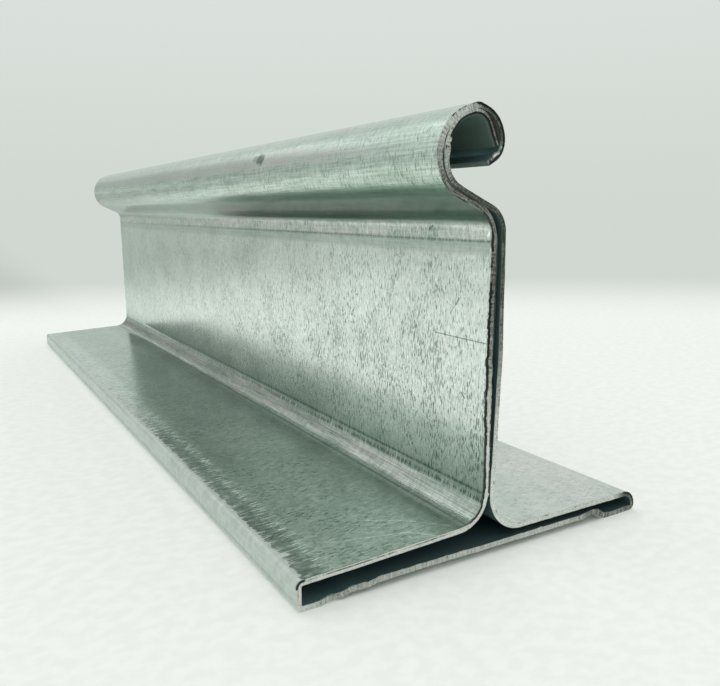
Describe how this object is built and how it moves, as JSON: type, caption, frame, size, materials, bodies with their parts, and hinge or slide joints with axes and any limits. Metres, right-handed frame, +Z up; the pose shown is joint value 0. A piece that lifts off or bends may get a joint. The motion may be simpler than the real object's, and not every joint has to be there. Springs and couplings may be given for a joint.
{
  "type": "roll-formed steel t-bar",
  "caption": "Cut length of roll-formed galvanised steel T-bar: flat folded flange, upright web of doubled sheet, and a curled interlocking edge along the top.",
  "frame": {"origin": "middle of the bar's length and of its flange width, on the floor plane its feet stand on", "axes": "+Y along the bar, +Z up the web towards the curl, -X towards the side the curl leans to"},
  "size_m": [0.06, 0.21, 0.061],
  "materials": {
    "galvanised_steel": "hot-dip zinc coat with a fine spangle, rolled lengthwise lines on the bends, bare saw-cut ends"
  },
  "bodies": {
    "root": {"t_bar": "galvanised_steel"}
  },
  "joints": []
}
